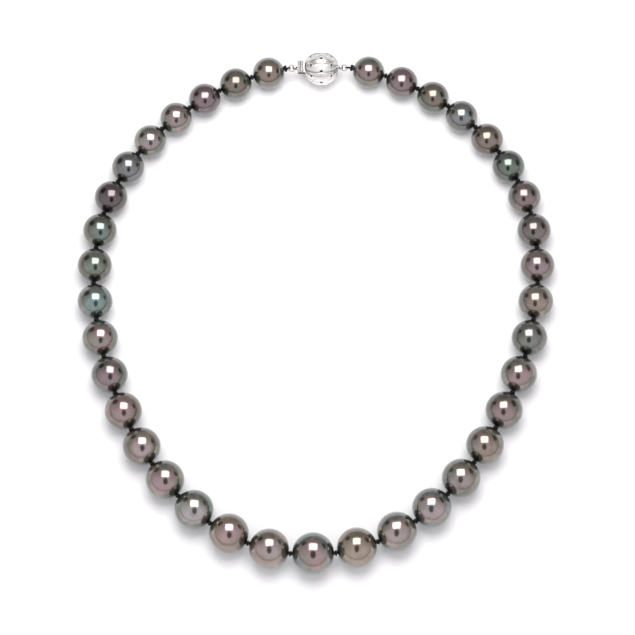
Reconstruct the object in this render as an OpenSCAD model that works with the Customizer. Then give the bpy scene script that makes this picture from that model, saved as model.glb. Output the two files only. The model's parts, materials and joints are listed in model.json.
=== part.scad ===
// Graduated pearl necklace: drilled pearls knotted on silk, closed by a ball clasp.
// It lies on a table at z = 0, clasp towards +Y and front pearl towards -Y.

/* [Pearls] */
// Number of pearls on each side of the front pearl
side_count = 18; // [14:1:22]
// Diameter of the front pearl
front_d = 12.1; // [10.2:0.1:14.6]
// Diameter of the pearls beside the front pearl
body_d = 11.6; // [9.8:0.1:14]
// Diameter of the pearls beside the clasp
end_d = 9.6; // [8:0.1:11.6]
// Diameter of the hole drilled through each pearl
drill_d = 1.0; // [0.9:0.05:1.3]

/* [Silk thread] */
// Diameter of the doubled thread
thread_d = 0.6; // [0.5:0.02:0.72]
// Room between two pearls
knot_gap = 0.95; // [0.8:0.05:1.2]
// Diameter of a knot
knot_d = 1.45; // [1.2:0.05:1.75]
// Room between a knot and the pearl beside it
knot_clear = 0.08; // [0.06:0.01:0.12]
// Diameter of the thread in the loops that hold the clasp's rings
loop_d = 0.4; // [0.3:0.02:0.44]

/* [Laid out shape] */
// Width of the loop of pearl centres, before it is eased to the strand's length
loop_w = 129; // [110:1:150]
// Height of that loop
loop_h = 153; // [130:1:182]
// How much wider the loop is towards the clasp
shoulder_x = 2.2; // [-3:0.1:3]
// How much flatter the loop is at the front than at the clasp
shoulder_y = 3.7; // [-4:0.1:4]
// How much the sides are filled out
side_fill = 1.1; // [-2:0.1:2]
// How much the two ends are flattened
end_flat = 0.8; // [-2:0.1:2]
// A slight wave in the sides, as the strand was laid by hand
side_wave = 0.3; // [-1.5:0.1:1.5]
// A slight wave in the ends
end_wave = 1.4; // [-2:0.1:2]
// How far the front is to the left of the clasp, halved
lean_x = 0.8; // [-3:0.1:3]
// How much higher the left side lies than the right, halved
lean_y = -0.8; // [-3:0.1:3]

/* [Ball clasp] */
// Diameter of the pierced ball
ball_d = 10.4; // [9.6:0.1:12.4]
// Thickness of the ball's shell
shell_t = 0.6; // [0.5:0.05:0.7]
// Diameter of the piercings in the shell
pierce_d = 0.8; // [0.6:0.05:1.0]
// Width of the sprung tongue's sheet
tongue_w = 3.2; // [2.8:0.1:3.8]
// Thickness of that sheet
sheet_t = 0.4; // [0.35:0.01:0.44]
// Room between the tongue's two leaves
leaf_gap = 0.8; // [0.7:0.05:1.0]
// Running clearance around the tongue in its box
slide_clear = 0.1; // [0.05:0.01:0.15]
// Room above the sprung leaf in the box
lift_clear = 0.35; // [0.3:0.05:0.5]
// Wall of the box that the tongue slides into
box_t = 0.4; // [0.3:0.05:0.5]
// Length of the thumb tab along the strand
tab_l = 1.8; // [1.5:0.1:2.2]
// Height of the thumb tab over its leaf
tab_h = 1.35; // [1.1:0.05:1.6]
// Diameter of the ribs across the thumb tab
rib_d = 0.4; // [0.3:0.02:0.44]
// Number of ribs
rib_count = 4; // [3:1:4]

/* [Rings and eyes] */
// Diameter of a jump ring, to the middle of its wire
ring_d = 1.9; // [1.8:0.1:2.3]
// Diameter of the ring's wire
wire_d = 0.5; // [0.42:0.02:0.56]
// Diameter of the hole in an eye
eye_bore = 0.8; // [0.76:0.02:0.96]
// Outer diameter of an eye
eye_d = 1.5; // [1.4:0.05:1.7]
// Thickness of an eye
eye_t = 0.5; // [0.4:0.02:0.6]

/* [Hidden] */
$fn = 96;
FINE = 48;
left_names = [for (k = [1 : side_count]) str("pearl_left_", k < 10 ? "0" : "", k)];
right_names = [for (k = [1 : side_count]) str("pearl_right_", k < 10 ? "0" : "", k)];

// ---- Pearl sizes ----
// Diameter of the k-th pearl from the front: the smaller pearls are the ones nearer the clasp
function pearl_d(k) = k == 0 ? front_d
    : end_d + (body_d - end_d) * pow(cos(90 * min(1, k / (side_count - 2))), 2);

// ---- Clasp stations along the strand, from the ball's centre ----
piece_gap = 0.1; // room between pieces that lie side by side
left_tail = 0.35; // thread from each loop to its knot
right_tail = 0.85;
mouth_set = 0.3; // how far the box's mouth is set into the ball
box_end = 2.6;
fold_room = 1; // from the fold's centre to the box's far end
hinge_set = 0.1; // how far the hinge lies before the fold
neck_h = 0.8; // height of the neck between the ball and its eye
slant_turn = 36; // the outer piercings' angle from the ball's middle
gore = 45; // angle from one row of piercings to the next
seam_off = 11.25; // keeps the piercings off the ball's seam
ball_r = ball_d / 2;
wire_r = wire_d / 2;
loop_r = wire_r + loop_d / 2 + piece_gap;
knot_l = knot_gap - 2 * knot_clear;
leaf_z = leaf_gap / 2 + sheet_t;
fold_z = -0.15; // the fold lies a little under the ball's middle
lower_z = fold_z - leaf_z;
upper_z = fold_z + leaf_gap / 2;
box_in_w = tongue_w + 2 * slide_clear;
box_low = lower_z - slide_clear / 2;
box_high = upper_z + sheet_t + lift_clear;
box_mouth = -(ball_r - mouth_set);
fold_x = box_end - fold_room;
hinge_x = fold_x - hinge_set - sheet_t / 2;
hinge_z = upper_z + sheet_t / 2;
tab_x1 = -(ball_r + piece_gap);
tab_x0 = tab_x1 - tab_l;
eye_left = tab_x0 - piece_gap - eye_d / 2;
eye_right = ball_r + eye_d / 2;
wire_left = eye_left - ring_d;
wire_right = eye_right + ring_d;
end_left = wire_left - loop_r - left_tail;
end_right = wire_right + loop_r + right_tail;
clasp_span = end_right - end_left;

// ---- The loop's outline: t = 0 at the front, growing towards the left ----
function outline(t, s) = [
    s * (-loop_w / 2 * sin(t) + shoulder_x * sin(2 * t) + side_fill * sin(3 * t)
        + side_wave * sin(4 * t) - lean_x * cos(t)),
    s * (-loop_h / 2 * cos(t) - shoulder_y * cos(2 * t) + end_flat * cos(3 * t)
        + end_wave * cos(4 * t) + lean_y * sin(t))];

// The place on the outline at a straight distance from t, found by halving
function reach(t, way, chord, s, a = 0, b = 40, n = 26) = n == 0 ? t + way * (a + b) / 2
    : let (m = (a + b) / 2)
        norm(outline(t + way * m, s) - outline(t, s)) < chord
            ? reach(t, way, chord, s, m, b, n - 1) : reach(t, way, chord, s, a, m, n - 1);

// Half of the front pearl's stretch, on each side of t = 0
function front_t(s, a = 0, b = 20, n = 26) = n == 0 ? (a + b) / 2
    : let (m = (a + b) / 2) norm(outline(m, s) - outline(-m, s)) < front_d + knot_gap
        ? front_t(s, m, b, n - 1) : front_t(s, a, m, n - 1);

// The knots of one side, from the front to the clasp
function knots(way, t, s, k = 1) = k > side_count ? [t]
    : concat([t], knots(way, reach(t, way, pearl_d(k) + knot_gap, s), s, k + 1));

// How far apart the two ends of the strand lie, below zero where they have passed each other
function opening(s) =
    let (a = front_t(s), l = knots(1, a, s)[side_count], r = knots(-1, -a, s)[side_count])
        norm(outline(l, s) - outline(r, s)) * (l - r < 360 ? 1 : -1);

// The size of the outline at which the clasp fills that opening
function eased(a = 0.6, b = 1.6, n = 26) = n == 0 ? (a + b) / 2
    : let (m = (a + b) / 2) opening(m) < clasp_span ? eased(m, b, n - 1) : eased(a, m, n - 1);

size = eased();
half_t = front_t(size);
flat_left = [for (t = knots(1, half_t, size)) outline(t, size)];
flat_right = [for (t = knots(-1, -half_t, size)) outline(t, size)];

// ---- Places in the finished frame: the origin is under the middle of the necklace ----
function middle(a, b) = (a + b) / 2;
function heading(a, b) = atan2(b[1] - a[1], b[0] - a[0]);
function step_z(k) = k < side_count ? (pearl_d(k) + pearl_d(k + 1)) / 4 : (end_d + ball_d) / 4;

flat_left_mid = [for (k = [1 : side_count]) middle(flat_left[k - 1], flat_left[k])];
flat_right_mid = [for (k = [1 : side_count]) middle(flat_right[k - 1], flat_right[k])];
flat_front = middle(flat_left[0], flat_right[0]);
clasp_turn = heading(flat_left[side_count], flat_right[side_count]);
flat_ball = flat_left[side_count] - end_left * [cos(clasp_turn), sin(clasp_turn)];

discs = concat([[flat_front, front_d], [flat_ball, ball_d]],
    [for (k = [1 : side_count]) [flat_left_mid[k - 1], pearl_d(k)]],
    [for (k = [1 : side_count]) [flat_right_mid[k - 1], pearl_d(k)]]);
low = [for (i = [0, 1]) min([for (d = discs) d[0][i] - d[1] / 2])];
high = [for (i = [0, 1]) max([for (d = discs) d[0][i] + d[1] / 2])];
shift = -(low + high) / 2;

function placed(p, z) = [p[0] + shift[0], p[1] + shift[1], z];
left_knots = [for (k = [0 : side_count]) placed(flat_left[k], step_z(k))];
right_knots = [for (k = [0 : side_count]) placed(flat_right[k], step_z(k))];
ball_at = placed(flat_ball, ball_r);

// ---- Building blocks ----
module rod(a, b, d)
{
    v = b - a;
    translate(a) rotate([0, acos(v[2] / norm(v)), atan2(v[1], v[0])])
        cylinder(h = norm(v), d = d, $fn = FINE);
}

module torus(d, wire)
{
    rotate_extrude() translate([d / 2, 0]) circle(d = wire, $fn = FINE);
}

module block(x0, x1, w, z0, z1)
{
    translate([x0, -w / 2, z0]) cube([x1 - x0, w, z1 - z0]);
}

module across(x, z, d, w)
{
    translate([x, 0, z]) rotate([90, 0, 0]) cylinder(h = w, d = d, center = true, $fn = FINE);
}

// Puts a piece of the clasp, drawn around the ball's centre, in its place
module in_clasp()
{
    translate(ball_at) rotate([0, 0, clasp_turn]) children();
}

// ---- Pearls ----
module drilled_pearl(a, b, d)
{
    translate(placed(middle(a, b) - [shift[0], shift[1], 0], d / 2)) rotate([0, 0, heading(a, b)])
        rotate([0, 90, 0]) difference() {
            sphere(d = d);
            cylinder(h = d + 1, d = drill_d, center = true, $fn = FINE);
        }
}

module pearl_front()
{
    color("#5a5660") drilled_pearl(left_knots[0], right_knots[0], front_d);
}

module pearl_left(k)
{
    color("#6c6a70") drilled_pearl(left_knots[k - 1], left_knots[k], pearl_d(k));
}

module pearl_right(k)
{
    color("#64686c") drilled_pearl(right_knots[k - 1], right_knots[k], pearl_d(k));
}

// ---- Silk thread, knotted between the pearls and looped through the clasp's rings ----
module knot(at, before, after)
{
    translate(at) rotate([0, 90, heading(before, after)]) intersection() {
        sphere(d = knot_d, $fn = FINE);
        cylinder(h = knot_l, d = 2 * knot_d, center = true, $fn = FINE);
    }
}

// The thread through a pearl runs in the middle of its hole, from knot to knot
module strand(a, b, d)
{
    rod([a[0], a[1], d / 2], [b[0], b[1], d / 2], thread_d);
}

// Where the holes on both sides of a knot differ much in height, the thread climbs inside the knot
module climb(at, z0, z1)
{
    if (abs(z1 - z0) > thread_d)
        rod([at[0], at[1], min(z0, z1)], [at[0], at[1], max(z0, z1)], loop_d);
}

module knotted_side(points)
{
    for (k = [0 : side_count]) {
        before = k == 0 ? middle(left_knots[0], right_knots[0]) : points[k - 1];
        after = k == side_count ? ball_at : points[k + 1];
        knot(points[k], before, after);
        if (k > 0) strand(points[k - 1], points[k], pearl_d(k));
        climb(points[k], pearl_d(k) / 2, k < side_count ? pearl_d(k + 1) / 2 : points[k][2]);
    }
}

module end_loop(at)
{
    in_clasp() translate([at, 0, 0]) rotate([90, 0, 0]) torus(2 * loop_r, loop_d);
}

function on_clasp(x) = ball_at + x * [cos(clasp_turn), sin(clasp_turn), 0];

module silk_thread()
{
    color("#17151a") {
        strand(left_knots[0], right_knots[0], front_d);
        knotted_side(left_knots);
        knotted_side(right_knots);
        end_loop(wire_left);
        end_loop(wire_right);
        rod(left_knots[side_count], on_clasp(wire_left - loop_r), thread_d);
        rod(right_knots[side_count], on_clasp(wire_right + loop_r), thread_d);
    }
}

// ---- Ball clasp ----
module piercings()
{
    for (turn = [seam_off : gore : 360 - gore / 2]) {
        for (slant = [-slant_turn, slant_turn]) rotate([turn, 0, 0]) rotate([0, slant, 0]) piercing();
        rotate([turn + gore / 2, 0, 0]) piercing();
    }
}

module piercing()
{
    translate([0, 0, ball_r - 2 * shell_t]) cylinder(h = 3 * shell_t, d = pierce_d, $fn = FINE);
}

module clasp_ball()
{
    color("#e6ddd0") in_clasp() difference() {
        rotate([0, 90, 0]) sphere(d = ball_d);
        rotate([0, 90, 0]) sphere(d = ball_d - 2 * shell_t);
        block(-ball_d, -ball_r / 5, box_in_w + 2 * box_t, box_low - box_t, box_high + box_t);
        piercings();
    }
}

module clasp_box()
{
    color("#d8cfc2") in_clasp() difference() {
        block(box_mouth, box_end, box_in_w + 2 * box_t, box_low - box_t, box_high + box_t);
        block(2 * box_mouth, 2 * box_end, box_in_w, box_low, box_high);
    }
}

module eye(x)
{
    difference() {
        union() {
            across(x, 0, eye_d, eye_t);
            children();
        }
        across(x, 0, eye_bore, 2 * eye_t);
    }
}

module clasp_eye()
{
    color("#e6ddd0") in_clasp() difference() {
        eye(eye_right)
            block(ball_r - shell_t, eye_right - eye_bore / 2 - piece_gap, eye_t, -neck_h / 2, neck_h / 2);
        rotate([0, 90, 0]) sphere(d = ball_d);
    }
}

module fold()
{
    intersection() {
        difference() {
            across(fold_x, fold_z, leaf_gap + 2 * sheet_t, tongue_w);
            across(fold_x, fold_z, leaf_gap, tongue_w + 1);
        }
        block(fold_x, fold_x + 2 * leaf_z, tongue_w, fold_z - 2 * leaf_z, fold_z + 2 * leaf_z);
    }
}

module clasp_tongue()
{
    color("#dcd3c6") in_clasp() {
        block(tab_x0, fold_x, tongue_w, lower_z, lower_z + sheet_t);
        fold();
        eye(eye_left) block(eye_left - eye_d / 4, tab_x0 + sheet_t / 2, eye_t, lower_z, lower_z + sheet_t);
    }
}

module clasp_spring_leaf()
{
    leaf_w = tongue_w - 2 * slide_clear;
    color("#d2c9bb") in_clasp() {
        block(tab_x0, hinge_x, leaf_w, upper_z, upper_z + sheet_t);
        across(hinge_x, hinge_z, sheet_t, leaf_w);
    }
}

module clasp_thumb_tab()
{
    top = upper_z + sheet_t + tab_h;
    pitch = tab_l / rib_count;
    color("#ddd4c8") in_clasp() {
        block(tab_x0, tab_x1, tongue_w, upper_z + sheet_t, top);
        for (i = [0 : rib_count - 1]) across(tab_x0 + (i + 0.5) * pitch, top, rib_d, tongue_w);
    }
}

module clasp_ring(x)
{
    color("#e9e2d8") in_clasp() translate([x, 0, 0]) torus(ring_d, wire_d);
}

// ---- Output ----
pearl_front();
for (k = [1 : side_count]) {
    pearl_left(k);
    pearl_right(k);
}
silk_thread();
clasp_ball();
clasp_box();
clasp_eye();
clasp_tongue();
clasp_spring_leaf();
clasp_thumb_tab();
clasp_ring((eye_left + wire_left) / 2);  // clasp_ring_left
clasp_ring((eye_right + wire_right) / 2);  // clasp_ring_right
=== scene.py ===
import json
import math

import bpy
from mathutils import Matrix, Vector

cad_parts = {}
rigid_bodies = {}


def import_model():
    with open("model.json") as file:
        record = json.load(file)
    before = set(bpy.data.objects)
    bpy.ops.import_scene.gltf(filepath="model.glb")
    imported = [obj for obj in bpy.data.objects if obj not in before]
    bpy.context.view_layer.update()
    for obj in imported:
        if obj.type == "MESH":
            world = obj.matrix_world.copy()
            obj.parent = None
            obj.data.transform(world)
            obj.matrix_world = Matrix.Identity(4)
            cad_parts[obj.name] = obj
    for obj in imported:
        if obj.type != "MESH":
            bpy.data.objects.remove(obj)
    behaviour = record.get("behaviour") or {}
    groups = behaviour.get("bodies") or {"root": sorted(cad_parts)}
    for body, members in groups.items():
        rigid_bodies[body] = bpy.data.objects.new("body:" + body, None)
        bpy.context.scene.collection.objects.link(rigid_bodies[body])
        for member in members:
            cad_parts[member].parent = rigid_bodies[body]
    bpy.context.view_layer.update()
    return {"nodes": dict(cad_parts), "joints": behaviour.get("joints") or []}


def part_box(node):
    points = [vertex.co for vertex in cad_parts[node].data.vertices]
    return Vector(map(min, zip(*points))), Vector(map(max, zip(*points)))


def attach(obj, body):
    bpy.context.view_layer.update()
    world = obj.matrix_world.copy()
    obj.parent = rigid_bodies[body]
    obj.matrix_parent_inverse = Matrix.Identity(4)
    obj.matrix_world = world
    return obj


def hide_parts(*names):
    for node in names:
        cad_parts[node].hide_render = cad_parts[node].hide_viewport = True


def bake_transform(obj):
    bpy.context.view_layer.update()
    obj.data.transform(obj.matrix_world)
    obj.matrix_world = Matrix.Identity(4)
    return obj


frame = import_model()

mm = 0.001
seam = 0.0006 * mm                # points of a mesh nearer than this are joined
joints = {row["name"]: row for row in frame["joints"]}
sideCount = sum(name.startswith("pearl_left") for name in frame["nodes"])


# One output socket of a node tree. Python's operators on it add Math nodes.
class Wire:
    def __init__(self, tree, socket=None):
        self.tree = tree
        self.socket = socket

    # Any node: its type, its settings, then the values or links of its sockets
    def node(self, kind, settings=None, sockets=None, out=0):
        made = self.tree.nodes.new(kind)
        for name, value in (settings or {}).items():
            setattr(made, name, value)
        for name, value in (sockets or {}).items():
            for part in value if isinstance(value, list) else [value]:
                if isinstance(part, Wire):
                    self.tree.links.new(part.socket, made.inputs[name])
                else:
                    made.inputs[name].default_value = part
        if made.outputs:
            return Wire(self.tree, made.outputs[out])

    # Another output of the same node
    def output(self, out):
        return Wire(self.tree, self.socket.node.outputs[out])

    # The x, y and z of a vector
    def parts(self):
        x = self.node("ShaderNodeSeparateXYZ", {}, {0: self})
        return x, x.output(1), x.output(2)

    def math(self, operation, first, second=0.0):
        return self.node("ShaderNodeMath", {"operation": operation}, {0: first, 1: second})

    def vector(self, operation, first, second, out=0):
        return self.node("ShaderNodeVectorMath", {"operation": operation}, {0: first, 1: second}, out)

    def __add__(self, other):
        return self.math("ADD", self, other)

    def __radd__(self, other):
        return self.math("ADD", other, self)

    def __sub__(self, other):
        return self.math("SUBTRACT", self, other)

    def __rsub__(self, other):
        return self.math("SUBTRACT", other, self)

    def __mul__(self, other):
        return self.math("MULTIPLY", self, other)

    def __rmul__(self, other):
        return self.math("MULTIPLY", other, self)

    def __truediv__(self, other):
        return self.math("DIVIDE", self, other)

    def __pow__(self, other):
        return self.math("POWER", self, other)

    def sine(self):
        return self.math("SINE", self)

    def cosine(self):
        return self.math("COSINE", self)

    # 0 below low, 1 above high, and a soft step between them
    def step(self, low, high):
        return self.node("ShaderNodeMapRange", {"interpolation_type": "SMOOTHSTEP"},
                         {"Value": self, "From Min": low, "From Max": high})

    def noise(self, place, scale, detail=2.0, distortion=0.0):
        return self.node("ShaderNodeTexNoise", {}, {"Vector": place, "Scale": scale, "Detail": detail,
                                                    "Distortion": distortion})

    # Mixes two colours: 0 is the first, 1 the second
    def mix(self, amount, first, second):
        first, second = [part if isinstance(part, Wire) else (*part, 1) for part in (first, second)]
        return self.node("ShaderNodeMix", {"data_type": "RGBA"}, {0: amount, 6: first, 7: second}, 2)


# Starts a material: its root wire and the place on the piece in its own unit
def startMaterial(name, centre=(0, 0, 0), unit=mm, turn=0.0):
    material = bpy.data.materials.new(name)
    material.use_nodes = True
    material.node_tree.nodes.clear()
    root = Wire(material.node_tree)
    place = root.node("ShaderNodeTexCoord", {}, {}, "Object")
    place = root.vector("SUBTRACT", place, tuple(centre))
    place = root.node("ShaderNodeMapping", {}, {"Vector": place, "Rotation": (0, 0, -turn),
                                                "Scale": (1 / unit,) * 3})
    return material, root, place


# Ends a material with its shader: a wire varies over the piece, and a plain value is the same all over
def endMaterial(root, sockets):
    shader = root.node("ShaderNodeBsdfPrincipled", {}, sockets)
    root.node("ShaderNodeOutputMaterial", {}, {"Surface": shader})


def bump(root, height, strength, depth):
    return root.node("ShaderNodeBump", {}, {"Height": height, "Strength": strength, "Distance": depth})


# A Geometry Nodes tree with named inputs; the wires of its inputs come with it
def startGeometry(name, inputs):
    tree = bpy.data.node_groups.new(name, "GeometryNodeTree")
    tree.interface.new_socket(name="Geometry", in_out="OUTPUT", socket_type="NodeSocketGeometry")
    for label, kind in inputs.items():
        tree.interface.new_socket(name=label, in_out="INPUT", socket_type="NodeSocket" + kind)
    root = Wire(tree)
    entry = root.node("NodeGroupInput")
    return tree, root, {label: entry.output(label) for label in inputs}


# Closes the tree: seams merged, smooth, turned and moved into place, with its material
def endGeometry(root, parts, given):
    joined = root.node("GeometryNodeJoinGeometry", {}, {"Geometry": parts})
    real = root.node("GeometryNodeRealizeInstances", {}, {"Geometry": joined})
    merged = root.node("GeometryNodeMergeByDistance", {}, {"Geometry": real, "Distance": seam})
    smooth = root.node("GeometryNodeSetShadeSmooth", {}, {"Geometry": merged})
    moved = root.node("GeometryNodeTransform", {}, {"Geometry": smooth, "Translation": given["Centre"],
                                                    "Rotation": given["Turn"]})
    painted = root.node("GeometryNodeSetMaterial", {}, {"Geometry": moved, "Material": given["Material"]})
    root.node("NodeGroupOutput", {}, {0: painted})


# Runs a tree with its values and keeps the result as a plain mesh
def grow(name, tree, values):
    obj = bpy.data.objects.new(name, bpy.data.meshes.new(name + "_start"))
    bpy.context.scene.collection.objects.link(obj)
    modifier = obj.modifiers.new("grow", "NODES")
    modifier.node_group = tree
    for item in tree.interface.items_tree:
        if item.in_out == "INPUT":
            modifier[item.identifier] = values[item.name]
    graph = bpy.context.evaluated_depsgraph_get()
    made = bpy.data.meshes.new_from_object(obj.evaluated_get(graph), depsgraph=graph)
    made.name = name
    obj.modifiers.remove(modifier)
    obj.data = made
    return obj


# A grid of one unit, as (geometry, x from 0 to 1, y from 0 to 1)
def unitGrid(root, countX, countY):
    grid = root.node("GeometryNodeMeshGrid", {}, {"Size X": 1.0, "Size Y": 1.0, "Vertices X": countX,
                                                  "Vertices Y": countY})
    x, y = root.node("GeometryNodeInputPosition").parts()[:2]
    return grid, x + 0.5, y + 0.5


def combine(root, x, y, z):
    return root.node("ShaderNodeCombineXYZ", {}, {0: x, 1: y, 2: z})


def moveTo(root, geometry, place):
    return root.node("GeometryNodeSetPosition", {}, {"Geometry": geometry, "Position": place})


def scaled(root, place, share):
    return root.node("ShaderNodeVectorMath", {"operation": "SCALE"}, {0: place, "Scale": share})


def times(factor, shade):
    return tuple(factor * part for part in shade)


def middle(node):
    low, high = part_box(node)
    return (low + high) / 2


pearl = {
    "around": 97,             # points round the drill hole, seam included
    "along": 61,              # points from hole to hole
    "boreAlong": 17,          # points from mouth to mouth of the hole
    "holeRadius": 0.5 * mm,
    "edge": 0.12 * mm,        # how far the nacre rounds into the hole
    "lump": 0.008,            # off-round, as a share of the radius
    "rings": 23,              # faint rings round the drill axis, and their share of the lump
    "ringHeight": 0.12,
    "metallic": 0.86,
    "roughness": 0.14,
    "coat": 0.8,
    "coatRoughness": 0.1,
    "coatIor": 1.8,
    "skinStrength": 0.16,
    "skinDepth": 0.02 * mm,
    "heartLight": 0.52,       # how light the hearts and the rims are, all together
    "rimLight": 0.33,
    "foot": (-0.2, 0.45),     # heights, in radii, where a band starts and where it is full
    "gold": (0.48, 0.74),
    "heart": (0.54, 1.02),
    "drift": 0.9,             # how far clouds move the bands
    "cloudScale": 1.25,
    "patchScale": 1.6,
    "grainScale": 7.0,
    "pitScale": 2.6,
    "goldShare": 0.7,         # how strongly each layer of colour shows
    "patchShare": 0.45,
    "growthShare": 0.06,
    "mottleShare": 0.12,
    "pitShare": 0.45,
    "litSide": (0.0, -0.30, 0.954),   # the side painted lightest, turned to the camera: a painted sheen there, painted shade away from it
}

tints = {
    "rose": (1.0, 0.67, 0.69),
    "silverRose": (1.0, 0.79, 0.79),
    "silver": (1.0, 0.92, 0.93),
    "bronze": (1.0, 0.77, 0.62),
    "aubergine": (1.0, 0.70, 0.79),
    "blue": (0.84, 0.92, 1.0),
    "green": (0.74, 1.0, 0.79),
    "teal": (0.66, 1.0, 0.95),
    "grey": (1.0, 0.99, 0.94),
    "gold": (1.0, 0.86, 0.54),
}

# For each pearl: its heart and how light it is, then its rim and how light that is
frontTint = ("rose", 0.62, "teal", 0.34)
leftTints = [
    ("silverRose", 0.66, "bronze", 0.44), ("rose", 0.70, "bronze", 0.36), ("silver", 0.72, "green", 0.24),
    ("rose", 0.62, "green", 0.23), ("silverRose", 0.66, "bronze", 0.21), ("rose", 0.58, "bronze", 0.22),
    ("aubergine", 0.44, "green", 0.16), ("rose", 0.56, "green", 0.20), ("teal", 0.50, "blue", 0.18),
    ("green", 0.38, "bronze", 0.15), ("teal", 0.36, "gold", 0.16), ("aubergine", 0.16, "aubergine", 0.12),
    ("blue", 0.36, "grey", 0.17), ("silverRose", 0.56, "green", 0.27), ("silverRose", 0.50, "grey", 0.25),
    ("aubergine", 0.36, "aubergine", 0.22), ("bronze", 0.36, "green", 0.21), ("bronze", 0.42, "grey", 0.36),
]
rightTints = [
    ("bronze", 0.64, "bronze", 0.42), ("silverRose", 0.66, "grey", 0.34), ("silverRose", 0.66, "teal", 0.25),
    ("silverRose", 0.58, "green", 0.20), ("bronze", 0.52, "grey", 0.19), ("rose", 0.50, "green", 0.15),
    ("rose", 0.60, "green", 0.20), ("grey", 0.34, "green", 0.12), ("bronze", 0.50, "grey", 0.18),
    ("aubergine", 0.50, "bronze", 0.20), ("silverRose", 0.30, "grey", 0.15), ("rose", 0.38, "grey", 0.17),
    ("green", 0.27, "teal", 0.12), ("bronze", 0.38, "bronze", 0.20), ("blue", 0.42, "grey", 0.22),
    ("bronze", 0.34, "green", 0.21), ("aubergine", 0.40, "aubergine", 0.26), ("rose", 0.46, "green", 0.26),
]


def nacre(name, centre, radius, turn, tint, seed):
    material, root, place = startMaterial("nacre_" + name, centre, radius, turn)
    heart, heartLight, rim, rimLight = tint
    heartLight = heartLight * pearl["heartLight"]
    rimLight = rimLight * pearl["rimLight"]
    heartShade = times(heartLight, tints[heart])
    rimShade = times(rimLight, tints[rim])
    goldShade = times(0.5 * heartLight + 0.5 * rimLight, tints["gold"])
    footShade = times(0.85 * rimLight, tints["green"])
    shifted = root.vector("ADD", place, (seed * 3.1, seed * 1.7, seed * 0.9))
    cloud = root.noise(shifted, pearl["cloudScale"], 2.0, 0.8)
    patch = root.noise(root.vector("ADD", shifted, (5.3, 8.1, 2.7)), pearl["patchScale"], 1.0, 0.4)
    grain = root.noise(shifted, pearl["grainScale"], 4.0)
    litSide = Matrix.Rotation(-turn, 3, "Z") @ Vector(pearl["litSide"])
    height = root.vector("DOT_PRODUCT", place, tuple(litSide), "Value")
    litLevel = height + (cloud - 0.5) * pearl["drift"]
    # The overtone's colours in bands by the direction to the camera: a green foot, the rim, a thin golden
    # band and the heart; the light heart is a painted sheen, the darker rim and foot are painted shade
    shade = root.mix(litLevel.step(*pearl["foot"]), footShade, rimShade)
    shade = root.mix(litLevel.step(*pearl["gold"]) * pearl["goldShare"], shade, goldShade)
    shade = root.mix(litLevel.step(*pearl["heart"]), shade, heartShade)
    # Patches that lean to the rim's tint in the heart, and to the heart's tint at the rim
    heartAtRim = times(1.15 * rimLight, tints[heart])
    rimInHeart = times(0.8 * heartLight, tints[rim])
    swapped = root.mix(litLevel.step(0.3, 0.9), heartAtRim, rimInHeart)
    shade = root.mix(patch.step(0.50, 0.68) * pearl["patchShare"], shade, swapped)
    # Growth lines round the drill axis, and a soft mottle
    lines = root.vector("MULTIPLY", shifted, (16.0, 1.1, 1.1))
    growth = root.noise(lines, 1.0, 2.0)
    shade = root.mix(growth.step(0.42, 0.7) * pearl["growthShare"], shade, times(0.5, rimShade))
    shade = root.mix(grain.step(0.45, 0.75) * pearl["mottleShare"], shade, times(1.25, heartShade))
    # A few small pits in the skin
    cells = root.node("ShaderNodeTexVoronoi", {}, {"Vector": shifted, "Scale": pearl["pitScale"]}, "Distance")
    chosen = root.node("ShaderNodeSeparateColor", {}, {0: cells.output("Color")})
    pit = (1 - cells.step(0.03, 0.10)) * chosen.step(0.72, 0.76)
    shade = root.mix(pit * pearl["pitShare"], shade, times(0.4, rimShade))
    skin = growth * 0.06 + grain * 0.2 - pit * 0.9
    endMaterial(root, {
        "Base Color": shade,
        "Metallic": pearl["metallic"],
        "Roughness": pearl["roughness"] + grain * 0.08 + pit * 0.2,
        "Coat Weight": pearl["coat"],
        "Coat Roughness": pearl["coatRoughness"],
        "Coat IOR": pearl["coatIor"],
        "Normal": bump(root, skin, pearl["skinStrength"], pearl["skinDepth"]),
    })
    return material


def pearlTree():
    tree, root, given = startGeometry("pearlShape", {
        "Radius": "Float", "Hole": "Float", "Edge": "Float", "Lump": "Float", "Seed": "Float",
        "Around": "Int", "Along": "Int", "Centre": "Vector", "Turn": "Vector", "Material": "Material"})
    radius, hole, edge = given["Radius"], given["Hole"], given["Edge"]
    poleAngle = root.math("ARCSINE", (hole + edge) / radius)
    # The skin, from hole to hole
    skin, around, along = unitGrid(root, given["Around"], given["Along"])
    angle = around * math.tau
    polar = poleAngle + along * (math.pi - 2 * poleAngle)
    unit = combine(root, -1 * polar.cosine(), polar.sine() * angle.cosine(), polar.sine() * angle.sine())
    shifted = root.vector("ADD", unit, combine(root, given["Seed"], given["Seed"] * 2.3, 0.0))
    uneven = root.noise(shifted, 0.9, 1.0) - 0.5
    ring = (polar * pearl["rings"] + given["Seed"]).sine() * root.math("FRACT", given["Seed"] * 7.7)
    ring = ring * pearl["ringHeight"]
    size = radius * (1 + given["Lump"] * (uneven * 2 + ring - 0.35) * polar.sine() ** 2)
    skin = moveTo(root, skin, scaled(root, unit, size))
    # The rounded mouth of the hole on both sides, and the bore between them
    bore, around, along = unitGrid(root, given["Around"], pearl["boreAlong"])
    angle = around * math.tau
    side = along - 0.5
    sign = root.math("SIGN", side)
    inward = root.math("MINIMUM", root.math("ABSOLUTE", side) * 2, 1.0)
    turned = ((inward - 0.5) * 2).step(0.0, 1.0)
    mouthX = radius * poleAngle.cosine()
    lip = root.math("SQRT", 1 - turned ** 2)
    reach = (mouthX - edge * (1 - lip)) * inward ** 0.2
    wide = hole + edge * turned * turned
    borePlace = combine(root, -1 * sign * reach, wide * angle.cosine(), wide * angle.sine())
    endGeometry(root, [skin, moveTo(root, bore, borePlace)], given)
    return tree


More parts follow.
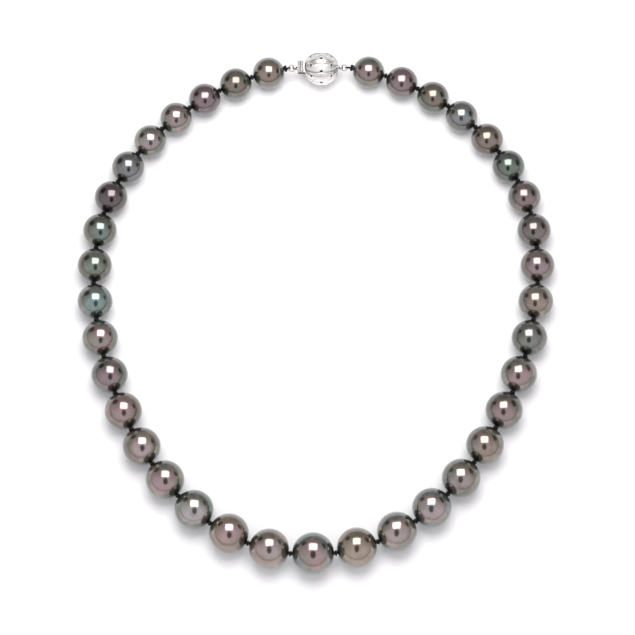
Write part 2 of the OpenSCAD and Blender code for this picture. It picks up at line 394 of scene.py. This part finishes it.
def makePearls():
    tree = pearlTree()
    first = Vector(joints["knot_left_01"]["pos_m"]) - Vector(joints["knot_right_01"]["pos_m"])
    rows = [("pearl_front", -first, frontTint)]
    for side, tintRows in (("left", leftTints), ("right", rightTints)):
        for k in range(1, sideCount + 1):
            name = f"pearl_{side}_{k:02d}"
            knotPlace = Vector(joints[f"knot_{side}_{k:02d}"]["pos_m"])
            rows.append((name, middle(name) - knotPlace, tintRows[(k - 1) % len(tintRows)]))
    for seed, (name, axis, tint) in enumerate(rows):
        low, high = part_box(name)
        radius = (high.z - low.z) / 2
        centre = (low + high) / 2
        turn = math.atan2(axis.y, axis.x)
        material = nacre(name, centre, radius, turn, tint, seed)
        obj = grow("nacre_" + name, tree, {
            "Radius": radius, "Hole": pearl["holeRadius"], "Edge": pearl["edge"], "Lump": pearl["lump"],
            "Seed": seed * 1.37, "Around": pearl["around"], "Along": pearl["along"], "Centre": centre,
            "Turn": (0.0, 0.0, turn), "Material": material})
        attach(obj, name)
        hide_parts(name)
    print("pearls:", len(rows))


silk = {
    "threadRadius": 0.41 * mm,
    "runPoints": 72,              # points along a run, round a knot, round a loop and round the thread
    "knotPoints": 96,
    "loopPoints": 64,
    "roundPoints": 12,
    "strandRadius": 0.28 * mm,    # one turn of the knot
    "knotRadius": 0.45 * mm,      # middle of the knot's turns
    "knotDepth": 0.15 * mm,
    "knotLobes": 3,
    "knotWinds": 2,
    "endSwell": 1.3,              # how much thicker the two end knots are
    "endReach": 0.3 * mm,         # thread past an end knot
    "bendReach": 0.35 * mm,       # a step of this length on both sides of a knot
    "loopRadius": 0.21 * mm,
    "loopWidth": 0.5 * mm,
    "loopReach": 0.5 * mm,        # how far a loop goes past the middle of the ring's wire
    "loopNarrow": 0.28,           # how much narrower it is at the knot
    "lobe": 0.16,                 # how deep the groove between the two plies is
    "pliesPerMm": 1.1,
}


def blackSilk():
    material, root, place = startMaterial("black_silk")
    fibre = root.noise(root.vector("MULTIPLY", place, (9.0, 9.0, 9.0)), 1.0, 3.0, 1.2)
    fuzz = root.noise(place, 2.2, 2.0)
    shade = root.mix(fibre.step(0.35, 0.75), (0.003, 0.003, 0.004), (0.016, 0.014, 0.016))
    shade = root.mix(fuzz.step(0.5, 0.8) * 0.4, shade, (0.022, 0.02, 0.021))
    endMaterial(root, {
        "Base Color": shade,
        "Roughness": 0.5 + fibre * 0.25,
        "Specular IOR Level": 0.25,
        "Sheen Weight": 0.08,
        "Sheen Roughness": 0.4,
        "Normal": bump(root, fibre, 0.5, 0.03 * mm),
    })
    return material


# Gives a curve its two twisted plies
def plied(root, curve, radius, given, spin):
    twisted = root.node("GeometryNodeSetCurveTilt", {}, {"Curve": curve, "Tilt": spin})
    points = silk["roundPoints"]
    ring = root.node("GeometryNodeCurvePrimitiveCircle", {}, {"Resolution": points, "Radius": radius})
    turn = root.node("GeometryNodeInputIndex") * (math.tau / points)
    share = 1 + given["Lobe"] * (turn * 2).cosine() - given["Lobe"]
    ring = moveTo(root, ring, scaled(root, root.node("GeometryNodeInputPosition"), share))
    return root.node("GeometryNodeCurveToMesh", {}, {"Curve": twisted, "Profile Curve": ring,
                                                     "Fill Caps": True})


# A thread from one end to the other with an overhand knot, drawn along x with the knot at 0
def runTree():
    tree, root, given = startGeometry("knottedThread", {
        "Before": "Float", "After": "Float", "Thread": "Float", "Strand": "Float", "Knot": "Float",
        "Depth": "Float", "Lobe": "Float", "Twist": "Float", "Seed": "Float", "Centre": "Vector",
        "Turn": "Vector", "Material": "Material"})
    start = combine(root, -1 * given["Before"], 0.0, 0.0)
    end = combine(root, given["After"], 0.0, 0.0)
    line = root.node("GeometryNodeCurvePrimitiveLine", {}, {"Start": start, "End": end})
    line = root.node("GeometryNodeResampleCurve", {}, {"Curve": line, "Count": silk["runPoints"]})
    along = root.node("GeometryNodeInputIndex") * given["Twist"]
    thread = plied(root, line, given["Thread"], given, along)
    # The knot's own turns: lobes wound round the thread
    points = silk["knotPoints"]
    loop = root.node("GeometryNodeCurvePrimitiveCircle", {}, {"Resolution": points, "Radius": given["Knot"]})
    turn = root.node("GeometryNodeInputIndex") * (math.tau / points)
    wave = turn * silk["knotLobes"] + given["Seed"]
    away = given["Knot"] + given["Depth"] * wave.cosine()
    around = turn * silk["knotWinds"] + given["Seed"] * 2.4
    across = given["Depth"] * 1.15 * wave.sine()
    loop = moveTo(root, loop, combine(root, across, away * around.cosine(), away * around.sine()))
    knot = plied(root, loop, given["Strand"], given, turn * 9)
    endGeometry(root, [thread, knot], given)
    return tree


# A long eye of thread in the x-z plane: round the wire at one end, in the knot at the other
def loopTree():
    tree, root, given = startGeometry("threadLoop", {
        "Length": "Float", "Width": "Float", "Strand": "Float", "Lobe": "Float", "Centre": "Vector",
        "Turn": "Vector", "Material": "Material"})
    points = silk["loopPoints"]
    loop = root.node("GeometryNodeCurvePrimitiveCircle", {}, {"Resolution": points, "Radius": 1 * mm})
    turn = root.node("GeometryNodeInputIndex") * (math.tau / points)
    narrow = 1 - silk["loopNarrow"] + turn.cosine() * silk["loopNarrow"]
    place = combine(root, turn.cosine() * given["Length"] * 0.5, 0.0, turn.sine() * given["Width"] * narrow)
    strand = plied(root, moveTo(root, loop, place), given["Strand"], given, turn * 6)
    endGeometry(root, [strand], given)
    return tree


def makeSilk(clasp):
    tree = runTree()
    material = blackSilk()

    def addRun(name, place, before, after, seed, swell=1.0):
        heading = after - before
        turn = math.atan2(heading.y, heading.x)
        tilt = -math.atan2(heading.z, math.hypot(heading.x, heading.y))
        return grow(name, tree, {
            "Before": (place - before).length, "After": (after - place).length,
            "Thread": silk["threadRadius"], "Strand": silk["strandRadius"] * swell,
            "Knot": silk["knotRadius"] * swell, "Depth": silk["knotDepth"], "Lobe": silk["lobe"],
            "Twist": silk["pliesPerMm"], "Seed": seed * 0.83, "Centre": place,
            "Turn": (0.0, tilt, turn), "Material": material})

    def dress():
        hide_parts("silk_thread")

    def bendAt(obj, place, before, after):
        step = (after - before).normalized() * silk["bendReach"]
        tuple(place - step)
        tuple(place + step)
        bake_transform(obj)
        dress()

    count = 0
    for side in ("left", "right"):
        for k in range(1, sideCount + 1):
            joint = joints[f"knot_{side}_{k:02d}"]
            inner, outer = joint["parent"], joint["child"]
            place = Vector(joint["pos_m"])
            obj = addRun(f"silk_{side}_{k:02d}", place, middle(inner), middle(outer), k)
            bendAt(obj, place, middle(inner), middle(outer))
            count += 1
    # The last knots, and the loops of thread that hold the clasp's rings
    loops = loopTree()
    for side, name, ring in (("left", f"pearl_left_{sideCount:02d}", "clasp_ring_left"),
                             ("right", f"pearl_right_{sideCount:02d}", "clasp_ring_right")):
        inner = middle(name)
        wire = clasp[side + "Wire"]
        place = clasp[side + "Knot"]
        heading = (wire - place).normalized()
        reach = place + heading * silk["endReach"]
        obj = addRun(f"silk_{side}_end", place, inner, reach, 7, silk["endSwell"])
        far = wire + heading * silk["loopReach"]
        turn = clasp["turn"] if side == "left" else clasp["turn"] + math.pi
        eye = grow(f"silk_{side}_loop", loops, {
            "Length": (far - place).length, "Width": silk["loopWidth"], "Strand": silk["loopRadius"],
            "Lobe": silk["lobe"], "Centre": (far + place) / 2, "Turn": (0.0, 0.0, turn),
            "Material": material})
        if side == "right":
            bendAt(obj, place, inner, wire)
            bendAt(eye, place, inner, wire)
        else:
            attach(obj, name)
            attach(eye, name)
            dress()
            dress()
        count += 2
    print("silk pieces:", count)


ballWork = {
    "leaves": 8,
    "leafAlong": 61,              # points along a leaf and round it
    "leafRound": 25,
    "leafWidth": 0.62 * mm,       # half, at its widest
    "leafHeight": 0.33 * mm,
    "leafFoot": -57.0,            # degrees along the ball, from the tongue's side
    "leafTip": 77.0,
    "scrollSway": 7.0,            # degrees
    "scrollBends": 5,
    "scrollRadius": 0.1 * mm,
    "beadRadius": 0.16 * mm,
    "beads": 43,
    "rows": 3,                    # piercings between two leaves
    "rimRadius": 0.47 * mm,       # round each piercing
    "rimWire": 0.09 * mm,
    "slant": 36.0,                # degrees of the outer piercings
    "firstRim": 33.75,            # degrees round the ball to the first middle piercing
    "collarRadius": 1.15 * mm,
    "collarWire": 1.8,            # in rim wires
    "collarPlace": 0.972,         # in the ball's radii
}

claspWork = {
    "wireRadius": 0.25 * mm,      # of the two rings
    "ribs": 4,                    # across the thumb tab
}

whiteGold = {
    "shade": (0.80, 0.785, 0.765),
    # deep is the colour of the painted shade in the recesses, the lines round the leaves and the tab's
    # valleys
    "deep": (0.10, 0.09, 0.085),
    "roughness": {"polish": 0.2, "matte": 0.4},
    "grit": {"polish": 0.05, "matte": 0.8},
    "bump": {"polish": 0.12, "matte": 0.3},
}

# The metal's looks: a finish, how dark the painted shade in its recesses is, and how light the metal is;
# below 1 it is painted darker, as painted shade
goldLooks = {
    "polished": ("polish", 0.0, 1.0),
    "wire": ("polish", 0.0, 0.5),
    "ball": ("matte", 0.9, 1.0),
    "box": ("matte", 0.5, 0.55),
    "tongue": ("polish", 0.0, 0.55),
    "leaf": ("polish", 0.0, 0.6),
    "tab": ("polish", 0.0, 0.58),
}

# The pieces that keep their shape, and their looks
claspLooks = {
    "clasp_ball": "ball",
    "clasp_box": "box",
    "clasp_eye": "wire",
    "clasp_tongue": "tongue",
    "clasp_spring_leaf": "leaf",
    "clasp_thumb_tab": "tab",
    "clasp_ring_left": "wire",
    "clasp_ring_right": "wire",
}


# The clasp's own axes, x along the strand from the left to the right, and where the thread ends
def claspFrame():
    low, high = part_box("clasp_ball")
    radius = (high.z - low.z) / 2
    along = -Vector(joints["clasp_pull"]["axis"])
    centre = Vector((high.x - radius, (low.y + high.y) / 2, (low.z + high.z) / 2))
    found = {"centre": centre, "radius": radius, "along": along, "turn": math.atan2(along.y, along.x)}
    for side, sign in (("left", -1), ("right", 1)):
        ring = middle("clasp_ring_" + side)
        low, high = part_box("clasp_ring_" + side)
        found[side + "Wire"] = ring + sign * along * ((high.x - low.x) / 2 - claspWork["wireRadius"])
    found["rightKnot"] = Vector(joints["end_knot_right"]["pos_m"])
    lastKnot = Vector(joints[f"knot_left_{sideCount:02d}"]["pos_m"])
    lastKnot = 2 * middle(f"pearl_left_{sideCount:02d}") - lastKnot
    found["leftKnot"] = Vector((lastKnot.x, lastKnot.y, found["rightKnot"].z))
    return found


def gold(name, clasp):
    finish, recessShade, light = goldLooks[name]
    material, root, place = startMaterial("white_gold_" + name, clasp["centre"], mm, clasp["turn"])
    scratch = root.noise(root.vector("MULTIPLY", place, (0.7, 9.0, 9.0)), 1.6, 3.0, 0.5)
    cloud = root.noise(place, 0.9, 2.0)
    sand = root.noise(place, 14.0, 2.0)
    # Below 1, light paints the same white gold darker on the small parts: painted shade
    base = times(light, whiteGold["shade"])
    shade = root.mix(cloud.step(0.35, 0.75) * 0.35, base, times(1.14, base))
    shade = root.mix(scratch.step(0.56, 0.72) * 0.25, shade, times(0.7, base))
    if recessShade:
        # Painted shade within the shell: darker the further a point lies below the ball's skin
        depth = root.vector("LENGTH", place, (0, 0, 0), "Value")
        skin = clasp["radius"] / mm
        insideShade = 1 - depth.step(skin - 0.45, skin - 0.08)
        shade = root.mix(insideShade * recessShade, shade, whiteGold["deep"])
        # Painted shade: dark lines where the leaves meet the shell
        y, z = place.parts()[1:]
        turns = root.math("ARCTAN2", z, y) * (ballWork["leaves"] / math.tau)
        edge = root.math("ABSOLUTE", root.math("FRACT", turns + 0.5) - 0.5)
        line = edge.step(0.12, 0.15) * (1 - edge.step(0.15, 0.24))
        shade = root.mix(line * recessShade, shade, whiteGold["deep"])
    if name == "tab":
        # Painted shade: dark valleys between the ribs
        low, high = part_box("clasp_thumb_tab")
        start = (low.x - clasp["centre"].x) / mm
        run = (place.parts()[0] - start) * (claspWork["ribs"] * mm / (high.x - low.x))
        valleyShade = root.math("ABSOLUTE", root.math("FRACT", run) - 0.5)
        shade = root.mix(valleyShade.step(0.22, 0.46), shade, whiteGold["deep"])
    grit = sand * whiteGold["grit"][finish] + scratch * 0.25
    endMaterial(root, {
        "Base Color": shade,
        "Metallic": 1.0,
        "Roughness": whiteGold["roughness"][finish] + scratch * 0.1 + cloud * 0.06,
        "Normal": bump(root, grit, whiteGold["bump"][finish], 0.03 * mm),
    })
    return material


# A place on the ball: height over its centre, degrees towards its right pole, degrees round it
def onBall(root, height, tip, around):
    return combine(root, height * tip.sine(), height * tip.cosine() * around.cosine(),
                   height * tip.cosine() * around.sine())


# Repeats a part round the ball's axis, from a phase in degrees
def roundTheAxis(root, part, count, phase):
    points = root.node("GeometryNodeMeshLine", {}, {"Count": count, "Offset": (0.0, 0.0, 0.0)})
    spin = root.node("GeometryNodeInputIndex") * (math.tau / count) + math.radians(phase)
    return root.node("GeometryNodeInstanceOnPoints", {}, {"Points": points, "Instance": part,
                                                          "Rotation": combine(root, spin, 0.0, 0.0)})


def leafTree():
    tree, root, given = startGeometry("ballLeaves", {
        "Radius": "Float", "Width": "Float", "Height": "Float", "Foot": "Float", "Tip": "Float",
        "Centre": "Vector", "Turn": "Vector", "Material": "Material"})
    grid, along, around = unitGrid(root, ballWork["leafAlong"], ballWork["leafRound"])
    tip = given["Foot"] + (given["Tip"] - given["Foot"]) * along
    swell = (along * math.pi).sine() ** 0.75
    turn = around * math.tau
    side = given["Width"] * swell * turn.cosine() / (given["Radius"] * tip.cosine())
    crown = turn.sine() * (0.5 + 1.0 * turn.cosine() ** 2.0)
    place = onBall(root, given["Radius"] + given["Height"] * swell ** 0.6 * crown, tip, side)
    leaf = moveTo(root, grid, place)
    endGeometry(root, [roundTheAxis(root, leaf, ballWork["leaves"], 0.0)], given)
    return tree


def scrollTree():
    tree, root, given = startGeometry("ballScrolls", {
        "Radius": "Float", "Sway": "Float", "Wire": "Float", "Bead": "Float", "Beads": "Int",
        "Foot": "Float", "Tip": "Float", "Centre": "Vector", "Turn": "Vector", "Material": "Material"})

    def path(count):
        line = root.node("GeometryNodeMeshLine", {}, {"Count": count, "Offset": (0.0, 0.0, 1 * mm)})
        along = root.node("GeometryNodeInputIndex") / (count - 1)
        tip = given["Foot"] + (given["Tip"] - given["Foot"]) * along
        sway = -1 * given["Sway"] * (tip * ballWork["scrollBends"]).cosine()
        return moveTo(root, line, onBall(root, given["Radius"], tip, sway))

    wire = root.node("GeometryNodeMeshToCurve", {}, {"Mesh": path(given["Beads"] * 2)})
    ring = root.node("GeometryNodeCurvePrimitiveCircle", {}, {"Resolution": 8, "Radius": given["Wire"]})
    wire = root.node("GeometryNodeCurveToMesh", {}, {"Curve": wire, "Profile Curve": ring, "Fill Caps": True})
    bead = root.node("GeometryNodeMeshUVSphere", {}, {"Segments": 8, "Rings": 5, "Radius": given["Bead"]})
    beads = root.node("GeometryNodeInstanceOnPoints", {}, {"Points": path(given["Beads"]), "Instance": bead})
    both = root.node("GeometryNodeJoinGeometry", {}, {"Geometry": [wire, beads]})
    halfGore = 180 / ballWork["leaves"]
    endGeometry(root, [roundTheAxis(root, both, ballWork["leaves"], halfGore)], given)
    return tree


# A raised wire round each piercing, and a collar at the ball's right pole
def rimTree():
    tree, root, given = startGeometry("ballRims", {
        "Radius": "Float", "Rim": "Float", "Wire": "Float", "Slant": "Float", "Collar": "Float",
        "Centre": "Vector", "Turn": "Vector", "Material": "Material"})

    def hoop(size, wire, steps):
        loop = root.node("GeometryNodeCurvePrimitiveCircle", {}, {"Resolution": steps, "Radius": size})
        ring = root.node("GeometryNodeCurvePrimitiveCircle", {}, {"Resolution": 8, "Radius": wire})
        return root.node("GeometryNodeCurveToMesh", {}, {"Curve": loop, "Profile Curve": ring})

    leaves, rows = ballWork["leaves"], ballWork["rows"]
    points = root.node("GeometryNodeMeshLine", {}, {"Count": leaves * rows, "Offset": (0.0, 0.0, 0.0)})
    index = root.node("GeometryNodeInputIndex")
    row = root.math("MODULO", index, rows) - 1.0
    tip = row * given["Slant"]
    gore = root.math("FLOOR", (index + 0.5) / rows)
    degrees = gore * (360 / leaves) + ballWork["firstRim"] - root.math("ABSOLUTE", row) * (180 / leaves)
    around = degrees * (math.pi / 180)
    points = moveTo(root, points, onBall(root, given["Radius"], tip, around))
    outward = root.node("GeometryNodeInputPosition")
    face = root.node("FunctionNodeAlignRotationToVector", {"axis": "Z"}, {"Vector": outward})
    rims = root.node("GeometryNodeInstanceOnPoints", {}, {"Points": points, "Rotation": face,
                                                          "Instance": hoop(given["Rim"], given["Wire"], 24)})
    collar = root.node("GeometryNodeTransform", {}, {
        "Geometry": hoop(given["Collar"], given["Wire"] * ballWork["collarWire"], 48),
        "Rotation": (0.0, math.pi / 2, 0.0),
        "Translation": combine(root, given["Radius"] * ballWork["collarPlace"], 0.0, 0.0)})
    endGeometry(root, [rims, collar], given)
    return tree


def makeClasp(clasp):
    place = {"Radius": clasp["radius"], "Centre": clasp["centre"], "Turn": (0.0, 0.0, clasp["turn"])}
    looks = {name: gold(name, clasp) for name in goldLooks}
    place["Material"] = looks["polished"]
    foot = math.radians(ballWork["leafFoot"])
    tip = math.radians(ballWork["leafTip"])
    pieces = [
        grow("clasp_ball_leaves", leafTree(), {
            **place, "Foot": foot, "Tip": tip, "Width": ballWork["leafWidth"],
            "Height": ballWork["leafHeight"]}),
        grow("clasp_ball_scrolls", scrollTree(), {
            **place, "Foot": foot, "Tip": tip, "Sway": math.radians(ballWork["scrollSway"]),
            "Wire": ballWork["scrollRadius"], "Bead": ballWork["beadRadius"], "Beads": ballWork["beads"]}),
        grow("clasp_ball_rims", rimTree(), {
            **place, "Rim": ballWork["rimRadius"], "Wire": ballWork["rimWire"],
            "Slant": math.radians(ballWork["slant"]), "Collar": ballWork["collarRadius"]}),
    ]
    for obj in pieces:
        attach(obj, "clasp_ball")
    for name, look in claspLooks.items():
        for slot in frame["nodes"][name].material_slots:
            slot.material = looks[look]
    print("clasp pieces:", len(pieces) + len(claspLooks))


studio = {
    "elevation": 72.5,            # degrees over the table, from the front
    "distance": 0.887,
    "lens": 170.0,
    "aim": (0.0004, -0.0019, 0.0),
    "sky": 1.2258,
    "skyFront": (0.80, 0.785, 0.81),
    "skyBack": (0.32, 0.31, 0.32),
    "horizon": (0.52, 0.515, 0.53),
    "keySize": (0.36, 0.325),
    "keyPlace": (0.0, 0.127, 0.447),
    "keyPower": 1.85,
    "keyShade": (1.0, 0.985, 0.965),
    "floorReach": 3.0,
    "floorShade": (0.93, 0.93, 0.94),
    "floorPale": (0.96, 0.96, 0.965),
}

# Dark cards that show only in the gloss of the pearls: place, width and height, and shade
cards = {
    "front_card": ((0.0, -0.2, 0.36), (0.19, 0.30), (0.006, 0.004, 0.004)),
    "left_card": ((-0.25, 0.17, 0.125), (0.16, 0.16), (0.006, 0.004, 0.004)),
    "right_card": ((0.265, 0.095, 0.12), (0.17, 0.12), (0.006, 0.005, 0.004)),
}


def aimed(place, target):
    return (Vector(target) - Vector(place)).to_track_quat("-Z", "Y")


# An oval card that faces the strand
def makeCard(name, place, size, shade):
    width, height = size
    turns = [math.tau * step / 24 for step in range(24)]
    corners = [Vector((math.cos(turn) * width, math.sin(turn) * height, 0)) / 2 for turn in turns]
    turned = aimed(place, (0, 0, 0)).to_matrix().to_4x4()
    turned.translation = Vector(place)
    mesh = bpy.data.meshes.new(name)
    mesh.from_pydata([turned @ corner for corner in corners], [], [range(24)])
    card = bpy.data.objects.new(name, mesh)
    bpy.context.scene.collection.objects.link(card)
    material, root, spot = startMaterial(name)
    fall = root.noise(spot, 0.004, 1.0)
    endMaterial(root, {
        "Base Color": (0, 0, 0, 1),
        "Roughness": 1.0,
        "Specular IOR Level": 0.0,
        "Emission Color": root.mix(fall, shade, times(1.3, shade)),
        "Emission Strength": 1.0,
    })
    mesh.materials.append(material)
    card.visible_camera = False
    card.visible_diffuse = False
    card.visible_shadow = False


def makeStage():
    scene = bpy.context.scene
    scene.view_settings.view_transform = "Standard"
    floor = bpy.data.meshes.new("floor")
    reach = studio["floorReach"]
    floor.from_pydata([(-reach, -reach, 0), (reach, -reach, 0), (reach, reach, 0), (-reach, reach, 0)], [],
                      [(0, 1, 2, 3)])
    floorObject = bpy.data.objects.new("floor", floor)
    scene.collection.objects.link(floorObject)
    material, root, place = startMaterial("floor")
    paper = root.noise(place, 0.6, 3.0)
    shade = root.mix(paper * 0.3, studio["floorShade"], studio["floorPale"])
    endMaterial(root, {"Base Color": shade, "Roughness": 0.95, "Specular IOR Level": 0.1})
    floor.materials.append(material)
    # Sky: paler towards the front, dimmer behind, and as light as the far table at the horizon
    world = bpy.data.worlds.new("studio")
    scene.world = world
    world.use_nodes = True
    root = Wire(world.node_tree)
    backward, upward = root.node("ShaderNodeTexCoord", {}, {}, "Generated").parts()[1:]
    shade = root.mix(backward.step(-0.6, 0.9), studio["skyFront"], studio["skyBack"])
    shade = root.mix(upward.step(-0.02, 0.38), studio["horizon"], shade)
    background = world.node_tree.nodes["Background"]
    world.node_tree.links.new(shade.socket, background.inputs["Color"])
    background.inputs["Strength"].default_value = studio["sky"]
    light = bpy.data.lights.new("key", "AREA")
    light.shape = "RECTANGLE"
    light.size, light.size_y = studio["keySize"]
    light.energy = studio["keyPower"]
    light.color = studio["keyShade"]
    key = bpy.data.objects.new("key", light)
    key.location = studio["keyPlace"]
    key.rotation_mode = "QUATERNION"
    key.rotation_quaternion = aimed(studio["keyPlace"], (0, 0, 0))
    scene.collection.objects.link(key)
    for name, (place, size, shade) in cards.items():
        makeCard(name, place, size, shade)
    camera = bpy.data.cameras.new("camera")
    camera.lens = studio["lens"]
    camera.sensor_width = 36.0
    camera.clip_start = 0.02
    camera.clip_end = 20.0
    view = bpy.data.objects.new("camera", camera)
    lift = math.radians(studio["elevation"])
    back = Vector((0.0, -math.cos(lift), math.sin(lift)))
    view.location = Vector(studio["aim"]) + back * studio["distance"]
    view.rotation_mode = "QUATERNION"
    view.rotation_quaternion = (-back).to_track_quat("-Z", "Y")
    scene.collection.objects.link(view)
    scene.camera = view
    print("stage ready")


clasp = claspFrame()
makePearls()
makeSilk(clasp)
makeClasp(clasp)
makeStage()
